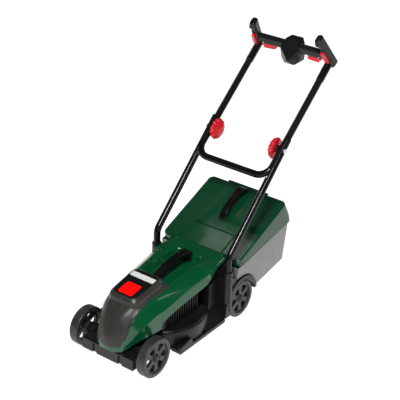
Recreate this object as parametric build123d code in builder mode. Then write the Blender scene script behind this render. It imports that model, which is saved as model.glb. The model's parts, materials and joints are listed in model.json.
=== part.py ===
"""A child's push lawn mower in moulded plastic, after a walk-behind mower with a grass box.

Millimetres. +Z is up, the floor is z = 0, the nose points to -Y and the push handle rises to +Y.
X = 0 is the plane of symmetry. The origin is the middle of the footprint, on the floor.
Distances along the mower are given as "behind the front axle" and turned into Y by back().
"""

import os
from math import atan2, cos, degrees, radians, sin, sqrt

from build123d import *

os.makedirs("parts", exist_ok=True)

# Running gear
WHEEL_R = 46.0
WHEEL_W = 22.0
WHEELBASE = 306.4
FRONT_FACE_X = 106.5
REAR_FACE_X = 109.0
AXLE_R = 3.0
RUN_GAP = 0.05
FRONT_AXLE_Y = -307.25

# Push handle
TUBE_R = 8.2
HANDLE_ANGLE = 40.6
LEG_ANGLE = 44.7
PIVOT_BACK = 454.0
PIVOT_Z = 371.0
HANDLE_X = 99.5
LEG_X = 102.5
LAP_X = 101.0
LAP_GAP = 0.15
LAP_UP = 30.0
LAP_DOWN = 74.0
CROSSBAR_DOWN = 75.0
CROSSBAR_BEND = 32.0
SOCKET_BACK = 256.0
BOLT_R = 3.0

# Body
WALL = 2.6
SKIRT_Z = 12.0
DRUM_R = 104.0
DRUM_BACK = 150.0
DRUM_TOP = 60.0
SEAM_BACK = 281.5
FLAP_PIN_BACK = 287.0
FLAP_PIN_Z = 154.0
FLAP_END = 344.0

# Grass box
BOX_SLOPE = 22.4
BOX_TOP_FRONT = (286.0, 153.0)
BOX_PANEL_RISE = 3.0
BOX_ARCH_R = 61.0
PIN_R = 1.5
GUARD_R_IN = 50.0
GUARD_R_OUT = 59.0


def back(distance):
    """Y of a point this far behind the front axle."""
    return FRONT_AXLE_Y + distance


def side_plane(x, distance, z, sign=1):
    """Plane facing outwards on one side, its local x along the mower and its local y up."""
    return Plane(origin=(sign * x, back(distance), z), x_dir=(0, sign, 0), z_dir=(sign, 0, 0))


def ruled_body(stations):
    """Ruled body through cross-sections, each (behind the front axle, half outline from bottom up)."""
    with BuildPart() as body:
        for distance, half in stations:
            plane = Plane(origin=(0, back(distance), 0), x_dir=(1, 0, 0), z_dir=(0, -1, 0))
            with BuildSketch(plane):
                with BuildLine():
                    Polyline(list(half) + [(-x, z) for x, z in reversed(half)], close=True)
                make_face()
        loft(ruled=True)
    return body.part


# ---------------------------------------------------------------- wheels and axles

SPOKES = 6
RIM_IN = 36.0
HUB_R = 9.0
CAP_R = 8.4
CAP_T = 3.0
OPENING_MIDDLE = 24.0
WHEEL_OPENING = [(-8.5, -3.6), (7, -10.5), (9.2, 0), (7, 10.5), (-8.5, 3.6)]


def wheel_frame(face_x, distance, sign):
    """Plane on a wheel's outer face, its normal pointing outwards."""
    return side_plane(face_x, distance, WHEEL_R, sign)


def make_wheel(face_x, distance, sign):
    """One-piece moulded wheel: rounded tread, six openings between flat spokes, and a hub."""
    frame = wheel_frame(face_x, distance, sign)
    with BuildPart() as wheel:
        with BuildSketch(frame.offset(-WHEEL_W)):
            Circle(WHEEL_R)
            Circle(RIM_IN, mode=Mode.SUBTRACT)
        extrude(amount=WHEEL_W)
        rims = wheel.edges().filter_by(GeomType.CIRCLE).filter_by(lambda e: e.radius > WHEEL_R - 1)
        fillet(rims, 3.0)
        with BuildSketch(frame.offset(-10)):
            Circle(RIM_IN + 1)
            with PolarLocations(OPENING_MIDDLE, SPOKES):
                Polygon(*WHEEL_OPENING, align=None, mode=Mode.SUBTRACT)
        extrude(amount=7)
        with BuildSketch(frame.offset(-WHEEL_W)):
            Circle(HUB_R)
        extrude(amount=WHEEL_W - 1)
        with BuildSketch(frame.offset(-WHEEL_W)):
            Circle(AXLE_R + RUN_GAP)
        extrude(amount=WHEEL_W, mode=Mode.SUBTRACT)
    return wheel.part


def make_hub_cap(face_x, distance, sign):
    """Push-on cap over the axle end, with a ring groove round its middle."""
    frame = wheel_frame(face_x, distance, sign)
    with BuildPart() as cap:
        with BuildSketch(frame.offset(-1)):
            Circle(CAP_R)
        extrude(amount=CAP_T)
        fillet(cap.faces().sort_by(Axis.X)[-1 if sign > 0 else 0].edges(), 1.0)
        with BuildSketch(frame.offset(CAP_T - 1)):
            Circle(5.6)
            Circle(4.4, mode=Mode.SUBTRACT)
        extrude(amount=-0.8, mode=Mode.SUBTRACT)
    return cap.part


for side, sign in (("left", -1), ("right", 1)):
    for end, face_x, distance in (("front", FRONT_FACE_X, 0.0), ("rear", REAR_FACE_X, WHEELBASE)):
        wheel_part = make_wheel(face_x, distance, sign)
        wheel_part.label = f"{end}_wheel_{side}"
        export_step(wheel_part, f"parts/{end}_wheel_{side}.step")
        cap_part = make_hub_cap(face_x, distance, sign)
        cap_part.label = f"hub_cap_{end}_{side}"
        export_step(cap_part, f"parts/hub_cap_{end}_{side}.step")

with BuildPart() as front_axle:
    with BuildSketch(Plane.YZ.offset(-FRONT_FACE_X + 1.5)):
        with Locations((back(0), WHEEL_R)):
            Circle(AXLE_R)
    extrude(amount=2 * FRONT_FACE_X - 3)
front_axle.part.label = "front_axle"
export_step(front_axle.part, "parts/front_axle.step")

with BuildPart() as rear_axle:
    with BuildSketch(Plane.YZ.offset(-REAR_FACE_X + 1.5)):
        with Locations((back(WHEELBASE), WHEEL_R)):
            Circle(AXLE_R)
    extrude(amount=2 * REAR_FACE_X - 3)
rear_axle.part.label = "rear_axle"
export_step(rear_axle.part, "parts/rear_axle.step")

# Toothed wheel on the rear axle; a spring tongue clicks over it as the mower is pushed.
CLICK_R = 12.0
CLICK_TEETH = 12
CLICK_W = 6.0
with BuildPart() as click_wheel:
    with BuildSketch(Plane.YZ.offset(-CLICK_W / 2)):
        with Locations((back(WHEELBASE), WHEEL_R)):
            Circle(CLICK_R - 2)
            with PolarLocations(CLICK_R - 2, CLICK_TEETH):
                Rectangle(4, 2.6)
            Circle(AXLE_R, mode=Mode.SUBTRACT)
    extrude(amount=CLICK_W)
click_wheel.part.label = "click_wheel"
export_step(click_wheel.part, "parts/click_wheel.step")

# ---------------------------------------------------------------- deck

BUMPER_X = 72.0
BUMPER_FRONT = -41.0
BUMPER_SLOT_X = 36.0
BUMPER_Z = 20.0
BUMPER_TOP = 46.0
SKIRT_X = 108.0
SKIRT_FRONT = 80.0
SKIRT_REAR = 246.0
REAR_BODY_X = 84.0
REAR_BODY_TOP = 118.0
REAR_FACE = 284.0
REAR_STEPS = [(212, 77, 118, 134), (256, 72, 134, 148)]
STEP_REAR = 281.0
TUNNEL_R = 47.0
BUSH_R = 5.5
AXLE_TUBE_R = 6.5
HOUSING_X = 61.0
HOUSING_R = 13.0
MOUTH_LOW = 110.0
MOUTH_HIGH = 131.0

DEFLECTOR_SECTION = [(70, DRUM_TOP), (80, DRUM_TOP), (107, 20), (70, 20)]
DEFLECTOR_PLAN = [(60, 225), (60, 190), (107.5, 173), (107.5, SKIRT_REAR)]

drum_spot = (0, back(DRUM_BACK))


def deflector(sign):
    """Sloping web from the top of the drum out to the skirt, just in front of a rear pillar."""
    with BuildPart() as web:
        with BuildSketch(Plane.XZ.offset(-back(SKIRT_REAR))):
            with BuildLine():
                Polyline([(sign * x, z) for x, z in DEFLECTOR_SECTION], close=True)
            make_face()
        extrude(amount=76)
        with BuildSketch(Plane.XY.offset(SKIRT_Z)):
            with BuildLine():
                Polyline([(sign * x, back(a)) for x, a in DEFLECTOR_PLAN], close=True)
            make_face()
        extrude(amount=60, mode=Mode.INTERSECT)
    return web.part


def drum_body(radius, top, edge):
    """Round housing with a rounded top edge, standing on the skirt's level."""
    with BuildPart() as body:
        with BuildSketch(Plane.XY.offset(SKIRT_Z)):
            with Locations(drum_spot):
                Circle(radius)
        extrude(amount=top - SKIRT_Z)
        fillet(body.edges().filter_by(GeomType.CIRCLE).sort_by(Axis.Z)[-1], edge)
    return body.part


with BuildPart() as deck:
    add(drum_body(DRUM_R, DRUM_TOP, 9.0))
    # side skirts
    for sign in (-1, 1):
        with BuildSketch(Plane.XY.offset(SKIRT_Z)):
            with Locations((sign * (SKIRT_X - 13), back((SKIRT_FRONT + SKIRT_REAR) / 2))):
                Rectangle(26, SKIRT_REAR - SKIRT_FRONT)
        extrude(amount=8)
        add(deflector(sign))
    add(drum_body(DRUM_R - WALL, DRUM_TOP - WALL, 7.0), mode=Mode.SUBTRACT)
    # front bumper, open underneath
    with BuildSketch(Plane.XY.offset(BUMPER_Z)):
        with Locations((0, back((BUMPER_FRONT + 62) / 2))):
            Rectangle(2 * BUMPER_X, 62 - BUMPER_FRONT)
    extrude(amount=BUMPER_TOP - BUMPER_Z)
    with BuildSketch(Plane.XY.offset(BUMPER_Z)):
        with Locations((0, back((BUMPER_FRONT + 46) / 2 + WALL))):
            Rectangle(2 * BUMPER_X - 2 * WALL, 46 - BUMPER_FRONT)
    extrude(amount=BUMPER_TOP - BUMPER_Z - WALL, mode=Mode.SUBTRACT)
    for x in (-BUMPER_SLOT_X, BUMPER_SLOT_X):
        with BuildSketch(Plane.XY.offset(BUMPER_Z)):
            with Locations((x, back(BUMPER_FRONT))):
                Rectangle(11, 12)
        extrude(amount=BUMPER_TOP - BUMPER_Z - WALL, mode=Mode.SUBTRACT)
    with BuildSketch(Plane.YZ.offset(-FRONT_FACE_X + WHEEL_W + 1)):
        with Locations((back(0), WHEEL_R)):
            Circle(AXLE_TUBE_R)
    extrude(amount=2 * (FRONT_FACE_X - WHEEL_W - 1))
    for sign in (-1, 1):
        with BuildSketch(side_plane(HOUSING_X, 0, WHEEL_R, sign)):
            Circle(HOUSING_R)
        extrude(amount=FRONT_FACE_X - WHEEL_W - 1 - HOUSING_X)
    # rear body with its discharge mouth, and the half-round cover over the rear axle
    with BuildSketch(Plane.XY.offset(SKIRT_Z)):
        with Locations((0, back((212 + REAR_FACE) / 2))):
            Rectangle(2 * REAR_BODY_X, REAR_FACE - 212)
    extrude(amount=REAR_BODY_TOP - SKIRT_Z)
    for front, half, low, top in REAR_STEPS:
        with BuildSketch(Plane.XY.offset(low - WALL)):
            with Locations((0, back((front + STEP_REAR) / 2))):
                Rectangle(2 * half, STEP_REAR - front)
        extrude(amount=top - low + WALL)
    with BuildSketch(Plane.YZ.offset(-REAR_BODY_X)):
        with Locations((back(WHEELBASE), WHEEL_R)):
            Circle(TUNNEL_R)
    extrude(amount=2 * REAR_BODY_X)
    with BuildSketch(Plane.XY.offset(0)):
        with Locations((0, back((214 + REAR_FACE) / 2))):
            Rectangle(2 * (REAR_BODY_X - WALL), REAR_FACE - 214 - WALL)
    extrude(amount=REAR_BODY_TOP - WALL, mode=Mode.SUBTRACT)
    for front, half, low, top in REAR_STEPS:
        with BuildSketch(Plane.XY.offset(low - 2 * WALL)):
            with Locations((0, back((front + STEP_REAR) / 2))):
                Rectangle(2 * (half - WALL), STEP_REAR - front - 2 * WALL)
        extrude(amount=top - low + WALL, mode=Mode.SUBTRACT)
    with BuildSketch(Plane.YZ.offset(-REAR_BODY_X + WALL)):
        with Locations((back(WHEELBASE), WHEEL_R)):
            Circle(TUNNEL_R - WALL)
    extrude(amount=2 * (REAR_BODY_X - WALL), mode=Mode.SUBTRACT)
    with BuildSketch(Plane.XY.offset(-5)):
        with Locations((0, back(WHEELBASE + 40))):
            Rectangle(2 * REAR_BODY_X + 2, 190)
    extrude(amount=27, mode=Mode.SUBTRACT)
    with BuildSketch(Plane.XZ.offset(-back(REAR_FACE) - 8)):
        with Locations((0, (MOUTH_LOW + MOUTH_HIGH) / 2)):
            Rectangle(116, MOUTH_HIGH - MOUTH_LOW)
    extrude(amount=16, mode=Mode.SUBTRACT)
    # axle and bush holes
    with BuildSketch(Plane.YZ.offset(-FRONT_FACE_X)):
        with Locations((back(0), WHEEL_R)):
            Circle(AXLE_R)
    extrude(amount=2 * FRONT_FACE_X, mode=Mode.SUBTRACT)
    with BuildSketch(Plane.YZ.offset(-REAR_BODY_X - 1)):
        with Locations((back(WHEELBASE), WHEEL_R)):
            Circle(BUSH_R)
    extrude(amount=2 * REAR_BODY_X + 2, mode=Mode.SUBTRACT)
deck.part.label = "deck"
export_step(deck.part, "parts/deck.step")

with BuildPart() as axle_bushes:
    for sign in (-1, 1):
        with BuildSketch(side_plane(REAR_BODY_X - WALL, WHEELBASE, WHEEL_R, sign)):
            Circle(BUSH_R)
            Circle(AXLE_R + RUN_GAP, mode=Mode.SUBTRACT)
        extrude(amount=WALL)
        with BuildSketch(side_plane(REAR_BODY_X - WALL - 2, WHEELBASE, WHEEL_R, sign)):
            Circle(BUSH_R + 2)
            Circle(AXLE_R + RUN_GAP, mode=Mode.SUBTRACT)
        extrude(amount=2)
axle_bushes.part.label = "axle_bushes"
export_step(axle_bushes.part, "parts/axle_bushes.step")

# Spring tongue: a thin strip hanging from the rear body's roof, its tip just clear of the teeth.
with BuildPart() as click_tongue:
    with BuildSketch(Plane.YZ.offset(-4)):
        with BuildLine():
            Polyline(
                [
                    (back(WHEELBASE - 3), WHEEL_R + TUNNEL_R - WALL - 1),
                    (back(WHEELBASE + 3), WHEEL_R + TUNNEL_R - WALL - 1),
                    (back(WHEELBASE + 0.8), WHEEL_R + CLICK_R + 0.6),
                    (back(WHEELBASE - 0.8), WHEEL_R + CLICK_R + 0.6),
                ],
                close=True,
            )
        make_face()
    extrude(amount=8)
click_tongue.part.label = "click_tongue"
export_step(click_tongue.part, "parts/click_tongue.step")

COMB_FRONT = 78.0
COMB_REAR = 126.0
with BuildPart() as comb_blank:
    with BuildSketch(Plane.YZ.offset(SKIRT_X - 6)):
        with BuildLine():
            Polyline(
                [
                    (back(COMB_FRONT + 2), SKIRT_Z + 8),
                    (back(COMB_FRONT + 2), SKIRT_Z + 15),
                    (back(COMB_REAR - 6), SKIRT_Z + 24),
                    (back(COMB_REAR), SKIRT_Z + 8),
                ],
                close=True,
            )
        make_face()
    extrude(amount=6)
    chamfer(comb_blank.edges().filter_by(Axis.X).sort_by(Axis.Y)[:1], 1.0)
comb_right = comb_blank.part
comb_left = mirror(comb_right, about=Plane.YZ)
for side, comb in (("left", comb_left), ("right", comb_right)):
    comb.label = f"grass_comb_{side}"
    export_step(comb, f"parts/grass_comb_{side}.step")

# ---------------------------------------------------------------- rear pillars and wheel guards

COLLAR_R = 11.5
COLLAR_TOP = 141.0
SOCKET_Z = 112.0
GUARD_X_IN = 85.5
GUARD_X_OUT = 112.0

SCREW_Z = 128.0
SCREW_HEAD_R = 3.4
SCREW_SEAT = COLLAR_R - 1.6


def screw_plane(behind, sign=1):
    """Plane facing the rear, this far behind a leg's middle, at the height of its screw."""
    origin = (sign * LEG_X, back(SOCKET_BACK) + behind, SCREW_Z)
    return Plane(origin=origin, x_dir=(1, 0, 0), z_dir=(0, 1, 0))


PILLAR = [(246, 21), (247, 40), (251, 80), (256, 118), (272, 118), (284, 108), (284, 60), (262, 21)]

# Rear pillar with the leg's socket on top and a guard curving over the rear wheel.
with BuildPart() as fender_blank:
    with BuildSketch(Plane.YZ.offset(REAR_BODY_X)):
        with BuildLine():
            Polyline([(back(a), z) for a, z in PILLAR], close=True)
        make_face()
    extrude(amount=SKIRT_X + 1 - REAR_BODY_X)
    with BuildSketch(Plane.YZ.offset(GUARD_X_IN)):
        with Locations((back(WHEELBASE), WHEEL_R)):
            Circle(GUARD_R_OUT)
        with Locations((back(WHEELBASE), WHEEL_R + 8)):
            Rectangle(200, 200, align=(Align.CENTER, Align.MAX), mode=Mode.SUBTRACT)
    extrude(amount=GUARD_X_OUT - GUARD_X_IN)
    with BuildSketch(Plane.XY.offset(60)):
        with Locations((LEG_X, back(SOCKET_BACK))):
            Circle(COLLAR_R)
    extrude(amount=COLLAR_TOP - 60)
    with BuildSketch(Plane.YZ.offset(REAR_BODY_X)):
        with Locations((back(WHEELBASE), WHEEL_R)):
            Circle(GUARD_R_IN)
    extrude(amount=40, mode=Mode.SUBTRACT)
    with BuildSketch(Plane.XY.offset(SOCKET_Z)):
        with Locations((LEG_X, back(SOCKET_BACK))):
            Circle(TUBE_R)
    extrude(amount=40, mode=Mode.SUBTRACT)
    # screw hole and its spot face, from behind
    with BuildSketch(screw_plane(SCREW_SEAT)):
        Circle(SCREW_HEAD_R + 0.1)
    extrude(amount=20, mode=Mode.SUBTRACT)
    with BuildSketch(screw_plane(0)):
        Circle(PIN_R)
    extrude(amount=20, mode=Mode.SUBTRACT)
fender_right = fender_blank.part
fender_left = mirror(fender_right, about=Plane.YZ)
for side, fender in (("left", fender_left), ("right", fender_right)):
    fender.label = f"rear_fender_{side}"
    export_step(fender, f"parts/rear_fender_{side}.step")

# ---------------------------------------------------------------- motor shroud under the hood

SHROUD_X = 64.0
SHROUD_FRONT = 66.0
SHROUD_REAR = 211.0
SHROUD_TOP = 112.0
RIB_PITCH = 8.5
RIB_COUNT = 12
with BuildPart() as motor_shroud:
    with BuildSketch(Plane.XY.offset(DRUM_TOP)):
        with Locations((0, back((SHROUD_FRONT + SHROUD_REAR) / 2))):
            RectangleRounded(2 * SHROUD_X, SHROUD_REAR - SHROUD_FRONT, 16)
    extrude(amount=SHROUD_TOP - DRUM_TOP)
    with BuildSketch(Plane.XY.offset(DRUM_TOP)):
        with Locations((0, back((SHROUD_FRONT + SHROUD_REAR) / 2))):
            RectangleRounded(2 * SHROUD_X - 2 * WALL, SHROUD_REAR - SHROUD_FRONT - 2 * WALL, 14)
    extrude(amount=SHROUD_TOP - DRUM_TOP - WALL, mode=Mode.SUBTRACT)
    for sign in (-1, 1):
        for i in range(RIB_COUNT):
            with BuildSketch(Plane.XY.offset(DRUM_TOP)):
                with Locations((sign * (SHROUD_X + 2), back(SHROUD_REAR - 22 - i * RIB_PITCH))):
                    Rectangle(6, 3)
            extrude(amount=SHROUD_TOP - DRUM_TOP)
motor_shroud.part.label = "motor_shroud"
export_step(motor_shroud.part, "parts/motor_shroud.step")

# ---------------------------------------------------------------- hood and nose

# Half outlines of the hood, lower edge first: (x, z) at each distance behind the front axle.
HOOD_STATIONS = [
    (-41, [(13, 48), (17, 57), (15, 68), (8, 78)]),
    (-34, [(27, 47), (32, 61), (27, 84), (14, 96)]),
    (-18, [(43, 56), (47, 71), (37, 104), (20, 119)]),
    (0, [(54, 65), (57.5, 83), (44, 120), (26, 134)]),
    (20, [(64, 72), (66, 93), (50, 131), (32, 145)]),
    (56, [(72, 76), (71, 112), (58, 141), (42, 152)]),
    (60, [(75, 94), (71.5, 115), (59, 141), (43, 153)]),
    (138, [(81, 113.5), (76, 134.5), (62, 147.5), (46, 155)]),
    (205, [(85, 125), (80, 144), (66, 152.5), (50, 157)]),
    (220, [(86, 139), (81, 149), (67, 155), (52, 157)]),
    (245, [(82, 148), (79, 153.5), (69, 156), (54, 157)]),
    (SEAM_BACK, [(77, 150), (74, 154.5), (68, 156.5), (54, 157)]),
]
HOOD_WALL = 2.4
RECESS_FRONT = 112.0
RECESS_REAR = 252.0
RECESS_FRONT_HALF = 45.0
RECESS_REAR_HALF = 41.0
RECESS_TOP = 170.0
RECESS_DEPTH = 34.0
RECESS_TAPER = 14.0
LUG_IN = 57.0
LUG_OUT = 70.0


def inset(stations, wall):
    """The hood's stations moved inwards, and carried on down so that the underside is open."""
    inner = []
    for distance, half in stations:
        forward = max(0.0, (60 - distance) / 100) * wall
        low_x, low_z = half[0]
        shape = [(max(low_x - wall, 4), low_z - 30)]
        shape += [(max(x - wall, 3), z - wall * 1.1) for x, z in half]
        inner.append((distance + wall * 0.6 + forward, shape))
    last = inner[-1]
    inner[-1] = (SEAM_BACK - wall, last[1])
    return inner


def recess(depth, wall):
    """Tapered well for the carry handle, wider towards the nose; wall moves its sides inwards."""
    front, rear = RECESS_FRONT_HALF - wall, RECESS_REAR_HALF - wall
    with BuildPart() as well:
        with BuildSketch(Plane.XY.offset(RECESS_TOP)) as plan:
            with BuildLine():
                Polyline(
                    [
                        (-front, back(RECESS_FRONT + wall)),
                        (front, back(RECESS_FRONT + wall)),
                        (rear, back(RECESS_REAR - wall)),
                        (-rear, back(RECESS_REAR - wall)),
                    ],
                    close=True,
                )
            make_face()
            fillet(plan.vertices(), 20 - wall)
        extrude(amount=-depth, taper=RECESS_TAPER)
    return well.part


hood_outer = ruled_body(HOOD_STATIONS)
hood_inner = ruled_body(inset(HOOD_STATIONS, HOOD_WALL))
with BuildPart() as hood:
    add(hood_outer)
    add(recess(RECESS_DEPTH, 0), mode=Mode.SUBTRACT)
    add(hood_inner, mode=Mode.SUBTRACT)
    # lugs that hold the rear flap's pin
    for sign in (-1, 1):
        with BuildSketch(Plane.YZ.offset(sign * LUG_IN)):
            with Locations((back(FLAP_PIN_BACK), FLAP_PIN_Z)):
                Circle(4.6)
            with BuildLine():
                Polyline(
                    [
                        (back(SEAM_BACK - 3), FLAP_PIN_Z - 4),
                        (back(FLAP_PIN_BACK), FLAP_PIN_Z - 4.6),
                        (back(FLAP_PIN_BACK), FLAP_PIN_Z + 4.6),
                        (back(SEAM_BACK - 3), FLAP_PIN_Z + 2),
                    ],
                    close=True,
                )
            make_face()
        extrude(amount=sign * (LUG_OUT - LUG_IN))
        with BuildSketch(Plane.YZ.offset(sign * LUG_IN)):
            with Locations((back(FLAP_PIN_BACK), FLAP_PIN_Z)):
                Circle(PIN_R)
        extrude(amount=sign * (LUG_OUT - LUG_IN), mode=Mode.SUBTRACT)

with BuildPart() as recess_tub:
    add(recess(RECESS_DEPTH, 0))
    add(recess(RECESS_DEPTH - HOOD_WALL, HOOD_WALL), mode=Mode.SUBTRACT)
    add(hood_outer, mode=Mode.INTERSECT)
with BuildPart() as hood_shell:
    add(hood.part)
    add(recess_tub.part)
hood_shell.part.label = "hood"
export_step(hood_shell.part, "parts/hood.step")

# Nose cover: half outlines as for the hood, standing just proud of it.
COVER_STATIONS = [
    (-45, [(8, 55), (13, 59), (13, 68), (6, 76)]),
    (-41, [(14, 54), (19, 59), (17.5, 70), (10, 82)]),
    (-34, [(29, 58), (33.6, 62), (28.6, 85.5), (15, 98)]),
    (-18, [(36, 90), (41.8, 92.5), (38.4, 105.2), (21, 121)]),
    (0, [(38, 117), (44, 121.5), (38, 126.5), (27, 136)]),
    (20, [(41, 132), (46.5, 135.6), (41, 140), (33, 147)]),
    (56, [(44, 143), (49.5, 148.2), (46, 150.3), (40, 154)]),
    (108, [(48, 146), (53, 151), (50, 153.2), (44, 156.5)]),
]
PANEL_FRONT_HALF = 31.0
PANEL_REAR_HALF = 35.0
PANEL_LONG = 86.0
BEVEL_DEPTH = 6.0
BEVEL_TAPER = 50.0
STRIP_SIZE = (65, 15)
BADGE_SIZE = (39, 38)
PANEL_FRONT = (10.0, 158.0)
PANEL_REAR = (98.0, 172.5)
PANEL_TILT = degrees(atan2(PANEL_REAR[1] - PANEL_FRONT[1], PANEL_REAR[0] - PANEL_FRONT[0]))


def panel_plane(distance, lift=0.0):
    """Plane lying on the nose cap's sloping top, at a point this far behind the front axle."""
    run = (distance - PANEL_FRONT[0]) / (PANEL_REAR[0] - PANEL_FRONT[0])
    z = PANEL_FRONT[1] + run * (PANEL_REAR[1] - PANEL_FRONT[1])
    tilt = radians(PANEL_TILT)
    normal = (0, -sin(tilt), cos(tilt))
    origin = (0, back(distance) + lift * normal[1], z + lift * normal[2])
    return Plane(origin=origin, x_dir=(1, 0, 0), z_dir=normal)


PANEL_MID = (PANEL_FRONT[0] + PANEL_REAR[0]) / 2
PANEL_T = 1.2


def panel_outline(grow, corner):
    """Outline of the label panel, a little wider towards the hood, grown on every side."""
    half_long = PANEL_LONG / 2 + grow
    front, rear = PANEL_FRONT_HALF + grow, PANEL_REAR_HALF + grow
    with BuildSketch() as outline:
        Polygon((-front, -half_long), (front, -half_long), (rear, half_long), (-rear, half_long), align=None)
        fillet(outline.vertices(), corner)
    return outline.sketch


bevel_spread = BEVEL_DEPTH * sin(radians(BEVEL_TAPER)) / cos(radians(BEVEL_TAPER))
with BuildPart() as cap_blank:
    with BuildSketch(panel_plane(PANEL_MID)):
        add(panel_outline(1.0, 11))
    extrude(amount=-BEVEL_DEPTH, taper=-BEVEL_TAPER)
    with BuildSketch(panel_plane(PANEL_MID, -BEVEL_DEPTH)):
        add(panel_outline(1.0 + bevel_spread, 11 + bevel_spread))
    extrude(amount=-20, taper=-9)
with BuildPart() as nose_cover:
    add(ruled_body(COVER_STATIONS))
    add(cap_blank.part)
    add(hood_outer, mode=Mode.SUBTRACT)
    with BuildSketch(Plane.XY):
        with Locations((0, back(60))):
            Rectangle(220, 260)
    extrude(amount=44, mode=Mode.SUBTRACT)
    with BuildSketch(panel_plane(PANEL_MID)):
        add(panel_outline(0.0, 10))
    extrude(amount=-PANEL_T, mode=Mode.SUBTRACT)
nose_solid = nose_cover.part.solids().sort_by(SortBy.VOLUME)[-1]
nose_solid.label = "nose_cover"
export_step(nose_solid, "parts/nose_cover.step")

with BuildPart() as label_panel:
    with BuildSketch(panel_plane(PANEL_MID)):
        add(panel_outline(0.0, 10))
    extrude(amount=-PANEL_T)
    with BuildSketch(panel_plane(35)):
        RectangleRounded(*BADGE_SIZE, 5)
    extrude(amount=-0.6, mode=Mode.SUBTRACT)
    with BuildSketch(panel_plane(80)):
        RectangleRounded(*STRIP_SIZE, 2.5)
    extrude(amount=-0.6, mode=Mode.SUBTRACT)
label_panel.part.label = "label_panel"
export_step(label_panel.part, "parts/label_panel.step")

with BuildPart() as red_badge:
    with BuildSketch(panel_plane(35)):
        RectangleRounded(*BADGE_SIZE, 5)
    extrude(amount=-0.6)
red_badge.part.label = "red_badge"
export_step(red_badge.part, "parts/red_badge.step")

with BuildPart() as label_strip:
    with BuildSketch(panel_plane(80)):
        RectangleRounded(*STRIP_SIZE, 2.5)
    extrude(amount=-0.6)
label_strip.part.label = "label_strip"
export_step(label_strip.part, "parts/label_strip.step")

# Bridge handle in the hood's recess: front foot, a straight grip rising to the rear, rear foot.
GRIP_HALF = 9.5
with BuildPart() as hood_handle:
    with BuildSketch(Plane.YZ):
        with BuildLine():
            Polyline(
                [
                    (back(113), 139.0),
                    (back(121), 152.0),
                    (back(150), 163.0),
                    (back(205), 170.0),
                    (back(238), 168.5),
                    (back(249), 160.5),
                    (back(245.5), 157.5),
                    (back(243), 139.0),
                    (back(235), 139.0),
                    (back(234), 157.0),
                    (back(206), 160.5),
                    (back(156), 153.5),
                    (back(132), 144.0),
                    (back(127), 139.0),
                ],
                close=True,
            )
        make_face()
    extrude(amount=GRIP_HALF, both=True)
    fillet(hood_handle.edges().filter_by(Axis.X).group_by(SortBy.LENGTH)[-1], 2.5)
    add(recess_tub.part, mode=Mode.SUBTRACT)
bridge = hood_handle.part.solids().sort_by(SortBy.VOLUME)[-1]
bridge.label = "hood_handle"
export_step(bridge, "parts/hood_handle.step")

# ---------------------------------------------------------------- grass box

BOX_TILT = radians(BOX_SLOPE)
BOX_LENGTH = 206.0
BOX_HALF = 111.0
BOX_DRAFT = 6.8
BOX_WALL = 2.5
PANEL_HALF = 57.0
RIM_FRONT = (284.5, 136.0)
RIM_REAR = (484.0, 179.0)
MOUTH_HALF = 66.0
FOOT_BACKS = (372.5, 462.5)


def box_top(distance, rise=0.0):
    """Height of the grass box's sloping top at a distance behind the front axle."""
    return BOX_TOP_FRONT[1] + (distance - BOX_TOP_FRONT[0]) * sin(BOX_TILT) / cos(BOX_TILT) + rise


def box_top_plane(distance, rise=0.0):
    """Plane lying on the sloping top."""
    z = box_top(distance)
    normal = (0, -sin(BOX_TILT), cos(BOX_TILT))
    origin = (0, back(distance) + rise * normal[1], z + rise * normal[2])
    return Plane(origin=origin, x_dir=(1, 0, 0), z_dir=normal)


def upper_body(wall, below):
    """Tapered block under the sloping top, cut off at the rim line; wall moves every face inwards."""
    mid = BOX_TOP_FRONT[0] + BOX_LENGTH * cos(BOX_TILT) / 2
    with BuildPart() as body:
        with BuildSketch(box_top_plane(mid, -wall)):
            RectangleRounded(2 * (BOX_HALF - wall), BOX_LENGTH - 2 * wall, 14 - wall)
        extrude(amount=-90, taper=-BOX_DRAFT)
        fillet(body.faces().sort_by(Axis.Z)[-1].edges(), 3.5)
        cut = [
            (200, RIM_FRONT[1] - 18 - below),
            (RIM_FRONT[0], RIM_FRONT[1] - below),
            (RIM_REAR[0] + 20, RIM_REAR[1] + 4 - below),
            (RIM_REAR[0] + 20, 20),
            (200, 20),
        ]
        with BuildSketch(Plane.YZ.offset(-200)):
            with BuildLine():
                Polyline([(back(a), z) for a, z in cut], close=True)
            make_face()
        extrude(amount=400, mode=Mode.SUBTRACT)
        with BuildSketch(Plane.XY):
            with Locations((0, back(200))):
                Rectangle(400, 2 * (SEAM_BACK + 4 + wall - 200))
        extrude(amount=300, mode=Mode.SUBTRACT)
        with BuildSketch(Plane.XY):
            with Locations((0, back(RIM_REAR[0] - wall))):
                Rectangle(400, 60, align=(Align.CENTER, Align.MIN))
        extrude(amount=300, mode=Mode.SUBTRACT)
    return body.part


with BuildPart() as box_upper:
    add(upper_body(0.0, 0.0))
    with BuildSketch(box_top_plane(FLAP_END + 1)):
        with Locations((0, 0)):
            Rectangle(2 * PANEL_HALF, 145, align=(Align.CENTER, Align.MIN))
    extrude(amount=BOX_PANEL_RISE, taper=8)
    add(upper_body(BOX_WALL, 6.0), mode=Mode.SUBTRACT)
    # front mouth, and a notch that clears the flap's hinge
    with BuildSketch(Plane.XZ.offset(-back(SEAM_BACK) + 10)):
        with Locations((0, MOUTH_LOW + 1)):
            Rectangle(2 * MOUTH_HALF, 34, align=(Align.CENTER, Align.MIN))
        with Locations((0, 130)):
            Rectangle(2 * LUG_OUT + 4, 80, align=(Align.CENTER, Align.MIN))
    extrude(amount=-22.5, mode=Mode.SUBTRACT)
    # slots for the carry handle's feet
    for distance in FOOT_BACKS:
        with BuildSketch(box_top_plane(distance, -10)):
            Rectangle(14, 5)
        extrude(amount=30, mode=Mode.SUBTRACT)
box_upper.part.label = "grass_box_upper"
export_step(box_upper.part, "parts/grass_box_upper.step")


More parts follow.
